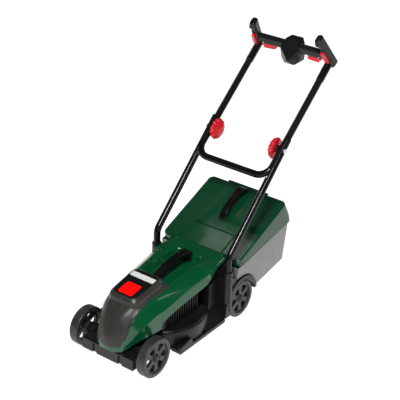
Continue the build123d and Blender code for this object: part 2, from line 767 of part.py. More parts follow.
def lower_body(wall):
    """Lower half of the box: sides leaning in towards the floor, arched over the rear axle."""
    outline = [
        (RIM_FRONT[0] + 1 + wall, 100),
        (RIM_FRONT[0] + 1 + wall, RIM_FRONT[1] + wall),
        (RIM_REAR[0] - 3 - wall, RIM_REAR[1] - 1 + wall),
        (480 - wall, 73.5 + wall),
        (374.5, 52 + wall),
        (355, 52 + wall),
    ]
    with BuildPart() as body:
        with BuildSketch(Plane.YZ):
            with BuildLine():
                Polyline([(back(a), z) for a, z in outline], close=True)
            make_face()
        extrude(amount=150, both=True)
        with BuildSketch(Plane.XZ.offset(-back(520))):
            with BuildLine():
                Polyline(
                    [(-103.5 + wall, 45), (103.5 - wall, 45), (115.5 - wall, 185), (-115.5 + wall, 185)],
                    close=True,
                )
            make_face()
        extrude(amount=260, mode=Mode.INTERSECT)
        with BuildSketch(Plane.YZ.offset(-150)):
            with Locations((back(WHEELBASE), WHEEL_R)):
                Circle(BOX_ARCH_R + wall)
            with Locations((back(WHEELBASE), WHEEL_R)):
                Rectangle(80, BOX_ARCH_R + wall, align=(Align.MAX, Align.MIN))
        extrude(amount=300, mode=Mode.SUBTRACT)
    return body.part


with BuildPart() as box_lower:
    add(lower_body(0.0))
    add(lower_body(BOX_WALL), mode=Mode.SUBTRACT)
    with BuildSketch(Plane.XZ.offset(-back(SEAM_BACK) + 10)):
        with Locations((0, MOUTH_LOW + 1)):
            Rectangle(2 * MOUTH_HALF, 40, align=(Align.CENTER, Align.MIN))
    extrude(amount=-24, mode=Mode.SUBTRACT)
box_lower.part.label = "grass_box_lower"
export_step(box_lower.part, "parts/grass_box_lower.step")

# Bridge handle on the box: (behind the front axle, height above the sloping top) of its upper
# and lower outlines.
ARCH_UPPER = [(367, 3.3), (379, 18), (411, 27.5), (448, 23), (468, 3.3)]
ARCH_LOWER = [(457, 3.3), (444, 14.5), (412, 19.5), (389, 13), (378, 3.3)]
BOX_GRIP_HALF = 8.5
arch_upper = [(back(a), box_top(a, rise)) for a, rise in ARCH_UPPER]
arch_lower = [(back(a), box_top(a, rise)) for a, rise in ARCH_LOWER]
with BuildPart() as box_handle:
    with BuildSketch(Plane.YZ):
        with BuildLine():
            Spline(*arch_upper)
            Line(arch_upper[-1], arch_lower[0])
            Spline(*arch_lower)
            Line(arch_lower[-1], arch_upper[0])
        make_face()
    extrude(amount=BOX_GRIP_HALF, both=True)
    for distance in FOOT_BACKS:
        with BuildSketch(box_top_plane(distance, 1)):
            Rectangle(13.4, 4.4)
        extrude(amount=7)
box_handle.part.label = "grass_box_handle"
export_step(box_handle.part, "parts/grass_box_handle.step")

# ---------------------------------------------------------------- rear flap

FLAP_T = 2.6
with BuildPart() as rear_flap:
    with BuildSketch(box_top_plane(FLAP_PIN_BACK, BOX_PANEL_RISE)):
        with Locations((0, 2)):
            Rectangle(2 * (LUG_IN - 0.4), 58, align=(Align.CENTER, Align.MIN))
    extrude(amount=-FLAP_T)
    with BuildSketch(Plane.YZ.offset(-(LUG_IN - 0.4))):
        with Locations((back(FLAP_PIN_BACK), FLAP_PIN_Z)):
            Circle(4.6)
    extrude(amount=2 * (LUG_IN - 0.4))
    with BuildSketch(Plane.YZ.offset(-LUG_IN)):
        with Locations((back(FLAP_PIN_BACK), FLAP_PIN_Z)):
            Circle(PIN_R + RUN_GAP)
    extrude(amount=2 * LUG_IN, mode=Mode.SUBTRACT)
rear_flap.part.label = "rear_flap"
export_step(rear_flap.part, "parts/rear_flap.step")

with BuildPart() as flap_pin:
    with BuildSketch(Plane.YZ.offset(-LUG_OUT)):
        with Locations((back(FLAP_PIN_BACK), FLAP_PIN_Z)):
            Circle(PIN_R)
    extrude(amount=2 * LUG_OUT)
flap_pin.part.label = "flap_pin"
export_step(flap_pin.part, "parts/flap_pin.step")

# ---------------------------------------------------------------- lower legs

LEG_TILT = radians(LEG_ANGLE)
LEG_TOP_BACK = PIVOT_BACK + LAP_UP * cos(LEG_TILT)
LEG_TOP_Z = PIVOT_Z + LAP_UP * sin(LEG_TILT)
BEND_Z = PIVOT_Z - (PIVOT_BACK - SOCKET_BACK) * sin(LEG_TILT) / cos(LEG_TILT)
LAP_CUT_WIDTH = 3 * TUBE_R


def lap_plane(x, angle):
    """Plane facing -X at the pivot, its local x running up the tube."""
    tilt = radians(angle)
    return Plane(origin=(x, back(PIVOT_BACK), PIVOT_Z), x_dir=(0, cos(tilt), sin(tilt)), z_dir=(1, 0, 0))


with BuildPart() as leg_blank:
    with BuildLine():
        FilletPolyline(
            (LEG_X, back(SOCKET_BACK), SOCKET_Z),
            (LEG_X, back(SOCKET_BACK), BEND_Z),
            (LEG_X, back(LEG_TOP_BACK), LEG_TOP_Z),
            radius=26,
        )
    with BuildSketch(Plane.XY.offset(SOCKET_Z)):
        with Locations((LEG_X, back(SOCKET_BACK))):
            Circle(TUBE_R)
    sweep()
    with BuildSketch(lap_plane(LAP_X + LAP_GAP, LEG_ANGLE)):
        with Locations((-LAP_DOWN, 0)):
            Rectangle(LAP_DOWN + LAP_UP + 20, LAP_CUT_WIDTH, align=(Align.MIN, Align.CENTER))
    extrude(amount=-30, mode=Mode.SUBTRACT)
    with BuildSketch(lap_plane(LAP_X - 5, LEG_ANGLE)):
        Circle(BOLT_R)
    extrude(amount=40, mode=Mode.SUBTRACT)
    with BuildSketch(lap_plane(LAP_X + 6.6, LEG_ANGLE)):
        Circle(6.5)
    extrude(amount=30, mode=Mode.SUBTRACT)
    with BuildSketch(screw_plane(TUBE_R - 4)):
        Circle(PIN_R)
    extrude(amount=20, mode=Mode.SUBTRACT)
leg_right = leg_blank.part
leg_left = mirror(leg_right, about=Plane.YZ)
for side, leg in (("left", leg_left), ("right", leg_right)):
    leg.label = f"lower_leg_{side}"
    export_step(leg, f"parts/lower_leg_{side}.step")

# Pivot bolts: a round head sunk in the leg, a shank through the lap and into the knob.
KNOB_BASE_X = 87.2
KNOB_NUT_X = 74.0
with BuildPart() as bolt_blank:
    with BuildSketch(lap_plane(KNOB_NUT_X, 0)):
        Circle(BOLT_R)
    extrude(amount=LAP_X + 6.6 - KNOB_NUT_X)
    with BuildSketch(lap_plane(LAP_X + 6.6, 0)):
        Circle(6.4)
    extrude(amount=3)
    fillet(bolt_blank.edges().filter_by(GeomType.CIRCLE).sort_by(Axis.X)[-1], 1.4)
bolt_right = bolt_blank.part
bolt_left = mirror(bolt_right, about=Plane.YZ)
for side, bolt in (("left", bolt_left), ("right", bolt_right)):
    bolt.label = f"pivot_bolt_{side}"
    export_step(bolt, f"parts/pivot_bolt_{side}.step")

# Screws that hold the legs in their sockets, from behind.
with BuildPart() as leg_screws:
    for sign in (-1, 1):
        with BuildSketch(screw_plane(TUBE_R - 3, sign)):
            Circle(PIN_R)
        extrude(amount=SCREW_SEAT - TUBE_R + 3)
        with BuildSketch(screw_plane(SCREW_SEAT, sign)):
            Circle(SCREW_HEAD_R)
        extrude(amount=1.8)
leg_screws.part.label = "leg_screws"
export_step(leg_screws.part, "parts/leg_screws.step")

# ---------------------------------------------------------------- upper handle

HANDLE_TILT = radians(HANDLE_ANGLE)
RUN = (0.0, cos(HANDLE_TILT), sin(HANDLE_TILT))
TUBE_TOP = 243.0
SLEEVE_LOW = 193.0
BORE_DEPTH = 190.0


def along_tube(s):
    """Point (Y, Z) on the upper handle's axis, s along the tube from the pivot."""
    return back(PIVOT_BACK) + s * RUN[1], PIVOT_Z + s * RUN[2]


handle_plane = Plane(origin=(0, back(PIVOT_BACK), PIVOT_Z), x_dir=(1, 0, 0), z_dir=(0, -RUN[2], RUN[1]))


def tube_plane(x, s):
    """Plane square to the upper handle's tube."""
    y, z = along_tube(s)
    return Plane(origin=(x, y, z), x_dir=(1, 0, 0), z_dir=RUN)


def pivot_plane(x, sign, x_dir=(0, 1, 0)):
    """Plane facing outwards at one side's pivot bolt."""
    return Plane(origin=(sign * x, back(PIVOT_BACK), PIVOT_Z), x_dir=x_dir, z_dir=(sign, 0, 0))


with BuildPart() as upper_handle:
    with BuildLine(handle_plane):
        FilletPolyline(
            (-HANDLE_X, TUBE_TOP),
            (-HANDLE_X, -CROSSBAR_DOWN),
            (HANDLE_X, -CROSSBAR_DOWN),
            (HANDLE_X, TUBE_TOP),
            radius=CROSSBAR_BEND,
        )
    with BuildSketch(tube_plane(-HANDLE_X, TUBE_TOP)):
        Circle(TUBE_R)
    sweep()
    for sign in (-1, 1):
        with BuildSketch(tube_plane(sign * HANDLE_X, TUBE_TOP)):
            Circle(TUBE_R - 2)
        extrude(amount=-BORE_DEPTH, mode=Mode.SUBTRACT)
        with BuildSketch(pivot_plane(LAP_X - LAP_GAP, sign, RUN)):
            with Locations((-CROSSBAR_DOWN - 20, 0)):
                Rectangle(CROSSBAR_DOWN + 20 + LAP_UP + 2, LAP_CUT_WIDTH, align=(Align.MIN, Align.CENTER))
        extrude(amount=20, mode=Mode.SUBTRACT)
        with BuildSketch(pivot_plane(KNOB_BASE_X + 0.3, sign)):
            Circle(9)
        extrude(amount=6)
        with BuildSketch(pivot_plane(KNOB_NUT_X, sign)):
            Circle(BOLT_R + RUN_GAP)
        extrude(amount=40, mode=Mode.SUBTRACT)
upper_handle.part.label = "upper_handle"
export_step(upper_handle.part, "parts/upper_handle.step")

# ---------------------------------------------------------------- fold knobs

KNOB_R = 26.0
KNOB_DOME = 19.0
FLUTES = 12
NUT_R = 5.5


def knob_plane(sign):
    """Plane on the knob's open face, facing the middle of the mower."""
    return Plane(origin=(sign * KNOB_BASE_X, back(PIVOT_BACK), PIVOT_Z), x_dir=(0, 1, 0), z_dir=(-sign, 0, 0))


def make_knob(sign):
    """Domed knob with a fluted rim, opening towards the tube for its captive nut."""
    frame = knob_plane(sign)
    with BuildPart() as knob:
        with BuildSketch(Plane(origin=frame.origin, x_dir=(0, 1, 0), z_dir=(0, 0, 1))):
            with BuildLine():
                Polyline([(0, 0), (10, 0)])
                Line((10, 0), (10, sign * 2.5))
                Line((10, sign * 2.5), (KNOB_R - 2, sign * 3.5))
                ThreePointArc((KNOB_R - 2, sign * 3.5), (KNOB_R, sign * 5.5), (KNOB_R - 1, sign * 8))
                ThreePointArc((KNOB_R - 1, sign * 8), (18, sign * 15.5), (7, sign * KNOB_DOME))
                Line((7, sign * KNOB_DOME), (0, sign * KNOB_DOME))
                Line((0, sign * KNOB_DOME), (0, 0))
            make_face()
        revolve(axis=Axis((0, back(PIVOT_BACK), PIVOT_Z), (1, 0, 0)))
        with BuildSketch(frame.offset(1)):
            with PolarLocations(KNOB_R + 2.2, FLUTES):
                Circle(4.4)
        extrude(amount=24, mode=Mode.SUBTRACT)
        with BuildSketch(frame):
            RegularPolygon(NUT_R, 6)
        extrude(amount=9, mode=Mode.SUBTRACT)
        with BuildSketch(frame):
            Circle(BOLT_R + RUN_GAP)
        extrude(amount=14.5, mode=Mode.SUBTRACT)
    return knob.part


def make_knob_nut(sign):
    """Hexagon nut held in the knob."""
    frame = knob_plane(sign)
    with BuildPart() as nut:
        with BuildSketch(frame.offset(3)):
            RegularPolygon(NUT_R, 6)
            Circle(BOLT_R + RUN_GAP, mode=Mode.SUBTRACT)
        extrude(amount=6)
    return nut.part


for side, sign in (("left", -1), ("right", 1)):
    knob_part = make_knob(sign)
    knob_part.label = f"fold_knob_{side}"
    export_step(knob_part, f"parts/fold_knob_{side}.step")
    nut_part = make_knob_nut(sign)
    nut_part.label = f"knob_nut_{side}"
    export_step(nut_part, f"parts/knob_nut_{side}.step")

# ---------------------------------------------------------------- handlebar, grips and triggers

BAR_BACK = 633.0
BAR_Z = 548.0
BAR_DEEP = 20.0
BAR_TALL = 22.0
BAR_HALF = 94.0
HORN_BASE = (103.0, 645.0, 532.0)
HORN_TOP = (90.0, 596.0, 600.0)
HORN_WIDE = 17.0
HORN_DEEP = 24.0
HORN_LOW = -8.0
SLEEVE_R = 9.4
TRIGGER_LOW = 12.0
TRIGGER_LONG = 34.0
TRIGGER_WIDE = 8.0
TRIGGER_PROUD = 5.0
LEVER_IN = 46.0
LEVER_OUT = 82.0
LEVER_WIDE = 9.0
LEVER_DEEP = 10.0
SLOT_GAP = 0.5

horn_run = (HORN_TOP[0] - HORN_BASE[0], HORN_TOP[1] - HORN_BASE[1], HORN_TOP[2] - HORN_BASE[2])
HORN_LONG = sqrt(sum(v * v for v in horn_run))
horn_axis = tuple(v / HORN_LONG for v in horn_run)


def horn_plane(t, lift=0.0):
    """Plane square to the right horn, t along it; local x points outwards and local y to the rear."""
    origin = [HORN_BASE[0], back(HORN_BASE[1]), HORN_BASE[2]]
    origin = [o + t * v for o, v in zip(origin, horn_axis)]
    rear = Vector(0, horn_axis[2], -horn_axis[1]).normalized()
    wide = rear.cross(Vector(*horn_axis)).normalized()
    middle = Vector(*origin) + rear * lift
    return Plane(origin=middle, x_dir=wide, z_dir=horn_axis)


def trigger_frame(t):
    """Frame on the horn's front face: local x outwards, local y to the rear, origin on the face."""
    return horn_plane(t, -HORN_DEEP / 2)


pin = trigger_frame(TRIGGER_LOW + 4)


def pin_plane(inwards):
    """Plane square to the right trigger's pivot pin, this far to the inner side of its middle."""
    return Plane(origin=pin.origin + pin.y_dir * 5 - pin.x_dir * inwards, x_dir=pin.y_dir, z_dir=pin.x_dir)


with BuildPart() as handlebar:
    with BuildSketch(Plane.YZ.offset(-BAR_HALF)):
        with Locations((back(BAR_BACK), BAR_Z)):
            RectangleRounded(BAR_DEEP, BAR_TALL, 8)
    extrude(amount=2 * BAR_HALF)
    # slots for the bar levers, in the underside
    for sign in (-1, 1):
        with BuildSketch(Plane.XY.offset(BAR_Z - BAR_TALL / 2 - 1)):
            with Locations((sign * (LEVER_IN + LEVER_OUT) / 2, back(BAR_BACK))):
                Rectangle(LEVER_OUT - LEVER_IN + 2, LEVER_WIDE + 2 * SLOT_GAP)
        extrude(amount=12, mode=Mode.SUBTRACT)
    with BuildSketch(Plane.XZ.offset(-back(BAR_BACK) - 20)):
        with Locations((LEVER_OUT - 4, BAR_Z - 7), (-LEVER_OUT + 4, BAR_Z - 7)):
            Circle(PIN_R)
    extrude(amount=40, mode=Mode.SUBTRACT)
handlebar.part.label = "handlebar"
export_step(handlebar.part, "parts/handlebar.step")

with BuildPart() as grip_blank:
    # horn
    with BuildSketch(horn_plane(HORN_LOW)):
        RectangleRounded(HORN_WIDE + 2, HORN_DEEP, 7)
    with BuildSketch(horn_plane(HORN_LONG)):
        RectangleRounded(HORN_WIDE - 1, HORN_DEEP - 1, 7)
    loft()
    fillet(grip_blank.faces().sort_by(Axis(origin=(0, 0, 0), direction=horn_axis))[-1].edges(), 4)
    # sleeve down the tube
    with BuildSketch(tube_plane(HANDLE_X, SLEEVE_LOW)):
        Circle(SLEEVE_R)
    extrude(amount=TUBE_TOP - SLEEVE_LOW + 6)
    with BuildSketch(tube_plane(HANDLE_X, SLEEVE_LOW - 1)):
        Circle(TUBE_R)
    extrude(amount=TUBE_TOP - SLEEVE_LOW + 1, mode=Mode.SUBTRACT)
    # trigger slot in the front of the horn
    with BuildSketch(trigger_frame(TRIGGER_LOW - 1)):
        Rectangle(TRIGGER_WIDE + 2 * SLOT_GAP, 24)
    extrude(amount=TRIGGER_LONG + 2, mode=Mode.SUBTRACT)
    # socket for the bar's end
    with BuildSketch(Plane.YZ.offset(0)):
        with Locations((back(BAR_BACK), BAR_Z)):
            RectangleRounded(BAR_DEEP, BAR_TALL, 8)
    extrude(amount=BAR_HALF, mode=Mode.SUBTRACT)
    with BuildSketch(pin_plane(15)):
        Circle(PIN_R)
    extrude(amount=30, mode=Mode.SUBTRACT)
grip_right = grip_blank.part.solids().sort_by(SortBy.VOLUME)[-1]
grip_left = mirror(grip_right, about=Plane.YZ)
for side, grip in (("left", grip_left), ("right", grip_right)):
    grip.label = f"grip_{side}"
    export_step(grip, f"parts/grip_{side}.step")

with BuildPart() as trigger_blank:
    with BuildSketch(trigger_frame(TRIGGER_LOW)):
        with Locations((0, -TRIGGER_PROUD)):
            Rectangle(TRIGGER_WIDE, TRIGGER_PROUD + 6.5, align=(Align.CENTER, Align.MIN))
    extrude(amount=TRIGGER_LONG)
    front = trigger_blank.edges().filter_by(lambda e: abs(e.length - TRIGGER_WIDE) < 0.1)
    fillet(front.sort_by(Axis(origin=(0, 0, 0), direction=tuple(pin.y_dir)))[:2], 3)
    with BuildSketch(pin_plane(15)):
        Circle(PIN_R + RUN_GAP)
    extrude(amount=30, mode=Mode.SUBTRACT)
trigger_right = trigger_blank.part
trigger_left = mirror(trigger_right, about=Plane.YZ)
for side, trigger in (("left", trigger_left), ("right", trigger_right)):
    trigger.label = f"grip_trigger_{side}"
    export_step(trigger, f"parts/grip_trigger_{side}.step")

with BuildPart() as lever_blank:
    with BuildSketch(Plane.XZ.offset(-back(BAR_BACK) - LEVER_WIDE / 2)):
        with BuildLine():
            Polyline(
                [
                    (LEVER_IN, BAR_Z - 7),
                    (LEVER_OUT, BAR_Z - 3),
                    (LEVER_OUT, BAR_Z - 13),
                    (LEVER_OUT - 6, BAR_Z - 11 - LEVER_DEEP),
                    (LEVER_IN, BAR_Z - 9 - LEVER_DEEP),
                ],
                close=True,
            )
        make_face()
    extrude(amount=LEVER_WIDE)
    fillet(lever_blank.edges().filter_by(Axis.Y).sort_by(Axis.Z)[:2], 2)
    with BuildSketch(Plane.XZ.offset(-back(BAR_BACK) - 20)):
        with Locations((LEVER_OUT - 4, BAR_Z - 7)):
            Circle(PIN_R + RUN_GAP)
    extrude(amount=40, mode=Mode.SUBTRACT)
lever_right = lever_blank.part
lever_left = mirror(lever_right, about=Plane.YZ)
for side, lever in (("left", lever_left), ("right", lever_right)):
    lever.label = f"bar_lever_{side}"
    export_step(lever, f"parts/bar_lever_{side}.step")

with BuildPart() as lever_pins:
    with BuildSketch(Plane.XZ.offset(-back(BAR_BACK) - BAR_DEEP / 2 + 1)):
        with Locations((LEVER_OUT - 4, BAR_Z - 7), (-LEVER_OUT + 4, BAR_Z - 7)):
            Circle(PIN_R)
    extrude(amount=BAR_DEEP - 2)
lever_pins.part.label = "lever_pins"
export_step(lever_pins.part, "parts/lever_pins.step")

with BuildPart() as trigger_pins:
    with BuildSketch(pin_plane(5.8)):
        Circle(PIN_R)
    extrude(amount=12.8)
    mirror(about=Plane.YZ)
trigger_pins.part.label = "trigger_pins"
export_step(trigger_pins.part, "parts/trigger_pins.step")

# Faceted switch box round the middle of the bar, in a front and a rear half.
CASE_WIDE = 56.0
CASE_DEEP = 46.0
CASE_BACK = 636.0
CASE_LOW = 504.0
CASE_TOP = 568.0
with BuildPart() as case_blank:
    with BuildSketch(Plane.XY.offset(CASE_LOW)):
        with Locations((0, back(CASE_BACK))):
            Rectangle(CASE_WIDE, CASE_DEEP)
    extrude(amount=CASE_TOP - CASE_LOW)
    chamfer(case_blank.edges().filter_by(Axis.Z), 13)
    chamfer(case_blank.faces().sort_by(Axis.Z)[-1].edges(), 9)
    chamfer(case_blank.faces().sort_by(Axis.Z)[0].edges(), 10)
    with BuildSketch(Plane.YZ.offset(-50)):
        with Locations((back(BAR_BACK), BAR_Z)):
            RectangleRounded(BAR_DEEP, BAR_TALL, 8)
    extrude(amount=100, mode=Mode.SUBTRACT)
case_cut = Plane(origin=(0, back(BAR_BACK), 0), x_dir=(1, 0, 0), z_dir=(0, 1, 0))
case_rear = split(case_blank.part, bisect_by=case_cut, keep=Keep.TOP)
case_front = split(case_blank.part, bisect_by=case_cut, keep=Keep.BOTTOM)
for label, case in (("switch_box_rear", case_rear), ("switch_box_front", case_front)):
    case.label = label
    export_step(case, f"parts/{label}.step")

with BuildPart() as case_screws:
    with BuildSketch(Plane.XZ.offset(-back(CASE_BACK) - CASE_DEEP / 2)):
        with Locations((0, CASE_LOW + 22)):
            Circle(3)
    extrude(amount=-1.5)
case_screws.part.label = "switch_box_screw"
export_step(case_screws.part, "parts/switch_box_screw.step")
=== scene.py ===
"""Looks for a child's push lawn mower: moulded plastic body, tubular handle and grass box."""

import json
from math import atan2, cos, pi, radians, sin, sqrt

import bmesh
import bpy
from mathutils import Matrix, Vector


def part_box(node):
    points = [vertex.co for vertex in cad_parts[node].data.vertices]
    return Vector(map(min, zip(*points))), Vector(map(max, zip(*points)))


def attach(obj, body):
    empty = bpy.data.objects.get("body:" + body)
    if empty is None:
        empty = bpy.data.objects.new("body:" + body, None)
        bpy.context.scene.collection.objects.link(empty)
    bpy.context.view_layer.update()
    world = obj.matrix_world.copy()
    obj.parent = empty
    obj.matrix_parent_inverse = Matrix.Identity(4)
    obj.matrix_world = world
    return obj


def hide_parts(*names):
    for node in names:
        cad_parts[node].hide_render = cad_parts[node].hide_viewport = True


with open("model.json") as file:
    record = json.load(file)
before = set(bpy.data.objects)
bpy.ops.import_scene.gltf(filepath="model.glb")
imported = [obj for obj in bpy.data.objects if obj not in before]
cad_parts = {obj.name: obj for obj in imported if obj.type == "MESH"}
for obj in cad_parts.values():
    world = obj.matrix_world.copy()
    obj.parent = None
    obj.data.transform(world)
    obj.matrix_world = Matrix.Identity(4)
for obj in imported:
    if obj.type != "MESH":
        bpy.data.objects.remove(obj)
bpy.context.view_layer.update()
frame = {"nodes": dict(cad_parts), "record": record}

MM = 0.001
nodes = frame["nodes"]
body_of = {n: b for b, names in frame["record"]["behaviour"]["bodies"].items() for n in names}
slot_of = {s["node"]: s["material_slot"] for s in frame["record"]["subparts"]}
FRONT_AXLE_Y = sum(corner.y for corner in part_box("front_axle")) / 2 / MM


def at(x, behind, z):
    """Point in metres from millimetres, its second value measured behind the front axle."""
    return Vector((x * MM, (FRONT_AXLE_Y + behind) * MM, z * MM))


# ---------------------------------------------------------------- materials


MOTTLE = 0.06


def plastic(name, colour, rough, grain=0.12, grain_size=900.0, coat=0.0, edge_highlight=0.25, ior=1.5):
    """Moulded plastic: fine grain, faint flow marks in colour and gloss, and a painted highlight that makes
    sharp convex edges paler.
    """
    material = bpy.data.materials.new(name)
    material.use_nodes = True
    tree = material.node_tree
    links = tree.links
    shader = tree.nodes["Principled BSDF"]
    shader.inputs["Coat Weight"].default_value = coat
    shader.inputs["Coat Roughness"].default_value = 0.06
    shader.inputs["IOR"].default_value = ior
    place = tree.nodes.new("ShaderNodeTexCoord")

    flow = tree.nodes.new("ShaderNodeTexNoise")
    flow.inputs["Scale"].default_value = 14.0
    flow.inputs["Detail"].default_value = 5.0
    links.new(place.outputs["Object"], flow.inputs["Vector"])

    tint = tree.nodes.new("ShaderNodeMix")
    tint.data_type = "RGBA"
    tint.inputs["A"].default_value = [c * (1 - MOTTLE) for c in colour] + [1]
    tint.inputs["B"].default_value = [min(1.0, c * (1 + MOTTLE) + 0.002) for c in colour] + [1]
    links.new(flow.outputs["Fac"], tint.inputs["Factor"])

    # Painted highlight: the colour turns paler along sharp convex edges, found by pointiness, as if they
    # caught the light. The edge argument sets how strong it is.
    geometry = tree.nodes.new("ShaderNodeNewGeometry")
    highlight_mask = tree.nodes.new("ShaderNodeMapRange")
    highlight_mask.inputs["From Min"].default_value = 0.52
    highlight_mask.inputs["From Max"].default_value = 0.62
    highlight_mask.inputs["To Max"].default_value = edge_highlight
    links.new(geometry.outputs["Pointiness"], highlight_mask.inputs["Value"])
    highlight_mix = tree.nodes.new("ShaderNodeMix")
    highlight_mix.data_type = "RGBA"
    highlight_mix.inputs["B"].default_value = [min(1.0, c * 1.6 + 0.02) for c in colour] + [1]
    links.new(highlight_mask.outputs["Result"], highlight_mix.inputs["Factor"])
    links.new(tint.outputs["Result"], highlight_mix.inputs["A"])
    links.new(highlight_mix.outputs["Result"], shader.inputs["Base Color"])

    smear = tree.nodes.new("ShaderNodeTexNoise")
    smear.inputs["Scale"].default_value = 38.0
    smear.inputs["Detail"].default_value = 6.0
    links.new(place.outputs["Object"], smear.inputs["Vector"])
    gloss = tree.nodes.new("ShaderNodeMapRange")
    gloss.inputs["From Min"].default_value = 0.3
    gloss.inputs["From Max"].default_value = 0.7
    gloss.inputs["To Min"].default_value = rough * 0.82
    gloss.inputs["To Max"].default_value = rough * 1.18
    links.new(smear.outputs["Fac"], gloss.inputs["Value"])
    links.new(gloss.outputs["Result"], shader.inputs["Roughness"])

    fine = tree.nodes.new("ShaderNodeTexNoise")
    fine.inputs["Scale"].default_value = grain_size
    fine.inputs["Detail"].default_value = 2.0
    links.new(place.outputs["Object"], fine.inputs["Vector"])
    bump = tree.nodes.new("ShaderNodeBump")
    bump.inputs["Strength"].default_value = grain
    bump.inputs["Distance"].default_value = 0.0004
    links.new(fine.outputs["Fac"], bump.inputs["Height"])
    links.new(bump.outputs["Normal"], shader.inputs["Normal"])
    return material


def steel(name):
    """Bright steel, grained like the plastics but metallic."""
    material = plastic(name, (0.55, 0.55, 0.57), 0.28, grain=0.2, grain_size=1500.0, edge_highlight=0.1)
    material.node_tree.nodes["Principled BSDF"].inputs["Metallic"].default_value = 1.0
    return material


materials = {
    "green_plastic": plastic("green_plastic", (0.0, 0.062, 0.019), 0.16, grain=0.02, coat=0.35, ior=1.42),
    "box_green": plastic("box_green", (0.001, 0.040, 0.015), 0.2, grain=0.03, coat=0.4, ior=1.42),
    "black_plastic": plastic("black_plastic", (0.004, 0.004, 0.0045), 0.32, ior=1.36),
    "gloss_black": plastic("gloss_black", (0.003, 0.003, 0.0035), 0.2, grain=0.04, coat=0.1, ior=1.35),
    "tube_black": plastic("tube_black", (0.003, 0.003, 0.0035), 0.17, grain=0.03, ior=1.3),
    "grey_plastic": plastic("grey_plastic", (0.026, 0.024, 0.021), 0.36, grain_size=1300.0, ior=1.35),
    "box_grey": plastic("box_grey", (0.11, 0.11, 0.11), 0.42, grain=0.22, grain_size=1100.0, coat=0.5),
    "wheel_grey": plastic("wheel_grey", (0.020, 0.020, 0.021), 0.42, grain=0.22, grain_size=1100.0, ior=1.45),
    "red_plastic": plastic("red_plastic", (0.50, 0.004, 0.012), 0.26, grain=0.03, coat=0.1, ior=1.4),
    "label_black": plastic("label_black", (0.003, 0.003, 0.0035), 0.14, grain=0.02, coat=0.2, ior=1.35),
    "label_red": plastic("label_red", (1.0, 0.001, 0.001), 0.3, grain=0.02, edge_highlight=0.0, ior=1.2),
    "label_pale": plastic("label_pale", (0.58, 0.62, 0.58), 0.35, grain=0.02, edge_highlight=0.0, ior=1.3),
    "steel": steel("steel"),
}

# ---------------------------------------------------------------- mesh helpers


def assign(obj, material):
    """Give an object one material."""
    obj.data.materials.clear()
    obj.data.materials.append(material)


def smooth(obj, angle):
    """Shade smooth, with edges sharper than this kept crisp."""
    obj.data.polygons.foreach_set("use_smooth", [True] * len(obj.data.polygons))
    obj.data.set_sharp_from_angle(angle=radians(angle))


def new_object(name, mesh_data):
    """Link a mesh into the scene under this name."""
    obj = bpy.data.objects.new(name, mesh_data)
    bpy.context.scene.collection.objects.link(obj)
    return obj


def from_bmesh(name, bm):
    """Turn a bmesh into a linked object and free it."""
    data = bpy.data.meshes.new(name)
    bmesh.ops.recalc_face_normals(bm, faces=bm.faces)
    bm.to_mesh(data)
    bm.free()
    return new_object(name, data)


def bake(obj):
    """Replace an object's mesh by the result of its modifiers."""
    depsgraph = bpy.context.evaluated_depsgraph_get()
    obj.data = bpy.data.meshes.new_from_object(obj.evaluated_get(depsgraph))
    obj.modifiers.clear()
    return obj


def stand_in(obj, *replaced, slot=None):
    """Put a finished piece in place of CAD nodes, riding on their body in their material."""
    first = replaced[0]
    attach(obj, body_of[first])
    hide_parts(*replaced)
    assign(obj, materials[slot or slot_of[first]])


def extra(obj, body, slot):
    """Small added detail that replaces nothing."""
    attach(obj, body)
    assign(obj, materials[slot])


def clean_copy(node, name):
    """Copy of a CAD node's mesh with its triangles merged back into flat faces."""
    bm = bmesh.new()
    bm.from_mesh(nodes[node].data)
    bmesh.ops.remove_doubles(bm, verts=bm.verts, dist=0.00002)
    bmesh.ops.dissolve_limit(bm, angle_limit=radians(0.6), verts=bm.verts, edges=bm.edges)
    return from_bmesh(name, bm)


def soften(node, radius):
    """Copy of a CAD node with small rounds on its edges, as moulded parts have."""
    obj = clean_copy(node, node + "_soft")
    smooth(obj, 38.0)
    bevel = obj.modifiers.new("round", "BEVEL")
    bevel.width = radius * MM
    bevel.segments = 2
    bevel.limit_method = "ANGLE"
    bevel.angle_limit = radians(30.0)
    bevel.use_clamp_overlap = True
    flatten = obj.modifiers.new("flat faces stay flat", "WEIGHTED_NORMAL")
    flatten.keep_sharp = True
    bake(obj)
    stand_in(obj, node)


# ---------------------------------------------------------------- CAD nodes that stay

for node, obj in nodes.items():
    for index in range(len(obj.data.materials)):
        obj.material_slots[index].material = materials[slot_of[node]]

# ---------------------------------------------------------------- softened mouldings

SOFTENED = {
    "deck": 0.8,
    "rear_fender_left": 0.9,
    "rear_fender_right": 0.9,
    "grass_comb_left": 0.6,
    "grass_comb_right": 0.6,
    "motor_shroud": 0.7,
    "grass_box_upper": 0.9,
    "grass_box_lower": 0.9,
    "rear_flap": 0.5,
    "front_wheel_left": 0.7,
    "front_wheel_right": 0.7,
    "rear_wheel_left": 0.7,
    "rear_wheel_right": 0.7,
}
for node, radius in SOFTENED.items():
    soften(node, radius)

# ---------------------------------------------------------------- lofted shells


def curve_value(xs, ys, x):
    """Smooth value at x through the points, without swinging past them."""
    last = len(xs) - 1
    i = max(0, min(last - 1, sum(1 for v in xs[1:-1] if v <= x)))
    gaps = [xs[k + 1] - xs[k] for k in range(last)]
    rises = [(ys[k + 1] - ys[k]) / gaps[k] for k in range(last)]

    def slope(k):
        if k == 0 or k == last:
            return rises[0 if k == 0 else -1]
        if rises[k - 1] * rises[k] <= 0:
            return 0.0
        return 2 * rises[k - 1] * rises[k] / (rises[k - 1] + rises[k])

    t = (x - xs[i]) / gaps[i]
    start = (1 + 2 * t) * (1 - t) ** 2 * ys[i] + t * (1 - t) ** 2 * gaps[i] * slope(i)
    end = t * t * (3 - 2 * t) * ys[i + 1] + t * t * (t - 1) * gaps[i] * slope(i + 1)
    return start + end


